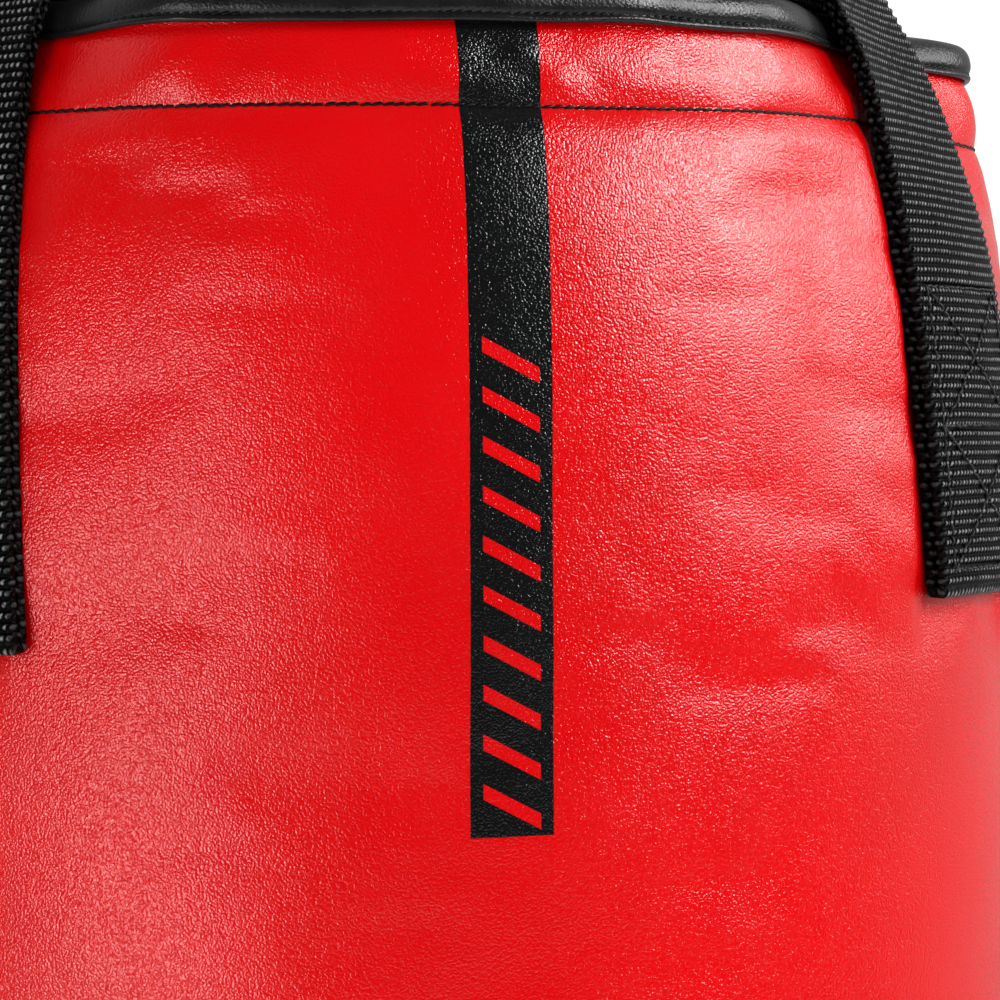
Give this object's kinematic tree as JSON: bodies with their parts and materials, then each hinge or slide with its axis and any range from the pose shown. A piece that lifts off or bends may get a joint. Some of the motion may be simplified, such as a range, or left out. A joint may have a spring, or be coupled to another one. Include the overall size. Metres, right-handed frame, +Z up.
{
  "type": "heavy punching bag",
  "caption": "Cylindrical heavy bag in grained leather, hung by webbing straps, chain legs, a snap hook and a ball-bearing swivel.",
  "frame": {"origin": "centre of the swivel's top eye, from which the bag hangs", "axes": "+Z up along the bag's axis, -Y the front, +Y along the top eye's bore, +X to the right seen from the front"},
  "size_m": [0.3532, 0.3532, 1.7151],
  "materials": {
    "housing_paint": "black powder coat, satin",
    "polished_steel": "turned and ground steel",
    "seal_rubber": "matte",
    "zinc_steel": "bright zinc plating",
    "strap_webbing": "ribbed polyamide webbing, black",
    "red_leather": "coated pebble-grain leather, semi-gloss",
    "black_binding": "coated leather, glossy",
    "stiff_band": "stiffened webbing",
    "lid_fabric": "coated woven polyamide",
    "zip_tape": "woven zip tape",
    "zip_plastic": "moulded teeth",
    "zip_metal": "black nickel",
    "liner_cloth": "plain cotton cloth",
    "pad_foam": "closed-cell foam",
    "textile_fill": "packed shredded textile",
    "sand_fill": "sand in a cloth tube"
  },
  "bodies": {
    "swivel_body": {"swivel_housing": "housing_paint", "swivel_cap": "housing_paint", "lower_race": "polished_steel", "dust_seal": "seal_rubber"},
    "stem": {"swivel_stem": "polished_steel", "stem_nut": "polished_steel", "upper_race": "polished_steel", "bearing_balls": "polished_steel"},
    "snap_hook": {"snap_hook_body": "zinc_steel", "gate_pin": "zinc_steel"},
    "gate": {"snap_hook_gate": "zinc_steel", "gate_spring": "zinc_steel"},
    "ring": {"hanging_ring": "zinc_steel"},
    "bag": {"chain_front_right": "zinc_steel", "chain_rear_right": "zinc_steel", "chain_rear_left": "zinc_steel", "chain_front_left": "zinc_steel", "d_ring_front_right": "zinc_steel", "d_ring_rear_right": "zinc_steel", "d_ring_rear_left": "zinc_steel", "d_ring_front_left": "zinc_steel", "strap_front_right": "strap_webbing", "strap_rear_right": "strap_webbing", "strap_rear_left": "strap_webbing", "strap_front_left": "strap_webbing", "front_panel": "red_leather", "back_panel": "red_leather", "rim_band": "stiff_band", "rim_binding": "black_binding", "lid_panel": "lid_fabric", "zip_tape_front": "zip_tape", "zip_tape_rear": "zip_tape", "zip_teeth_front": "zip_plastic", "zip_teeth_rear": "zip_plastic", "zip_stops": "zip_plastic", "liner": "liner_cloth", "top_pad": "pad_foam", "bottom_pad": "pad_foam", "foam_wrap": "pad_foam", "filling": "textile_fill", "sand_core": "sand_fill", "bottom_disc": "black_binding", "bottom_binding": "black_binding", "anchor_webbing": "strap_webbing"},
    "slider": {"zip_slider": "zip_metal"},
    "pull_tab": {"zip_pull": "zip_metal"},
    "anchor_ring": {"anchor_ring": "zinc_steel"}
  },
  "joints": [
    {"name": "swivel_spin", "type": "hinge", "parent": "swivel_body", "child": "stem", "pos_m": [0, 0, -0.05], "axis": [0, 0, 1], "continuous": true},
    {"name": "snap_hook_swing", "type": "hinge", "parent": "stem", "child": "snap_hook", "pos_m": [0, 0, -0.08085], "axis": [0, 1, 0], "range_deg": [-50, 50]},
    {"name": "gate_open", "type": "hinge", "parent": "snap_hook", "child": "gate", "pos_m": [0, 0.015, -0.104], "axis": [-1, 0, 0], "range_deg": [0, 26], "stiffness_Nm_per_rad": 0.35, "springref_deg": -5.73},
    {"name": "ring_swing", "type": "hinge", "parent": "snap_hook", "child": "ring", "pos_m": [0, 0, -0.16085], "axis": [0, 1, 0], "range_deg": [-50, 50]},
    {"name": "bag_swing", "type": "hinge", "parent": "ring", "child": "bag", "pos_m": [0, 0, -0.1997], "axis": [1, 0, 0], "range_deg": [-50, 50]},
    {"name": "zip_slide", "type": "slide", "parent": "bag", "child": "slider", "axis": [-1, 0, 0], "range_m": [0, 0.236]},
    {"name": "pull_tab_flip", "type": "hinge", "parent": "slider", "child": "pull_tab", "pos_m": [0.118, 0, -0.47685], "axis": [0, 1, 0], "range_deg": [0, 170]},
    {"name": "anchor_ring_swing", "type": "hinge", "parent": "bag", "child": "anchor_ring", "pos_m": [0, 0, -1.66964], "axis": [0, 1, 0], "range_deg": [-75, 75]}
  ]
}
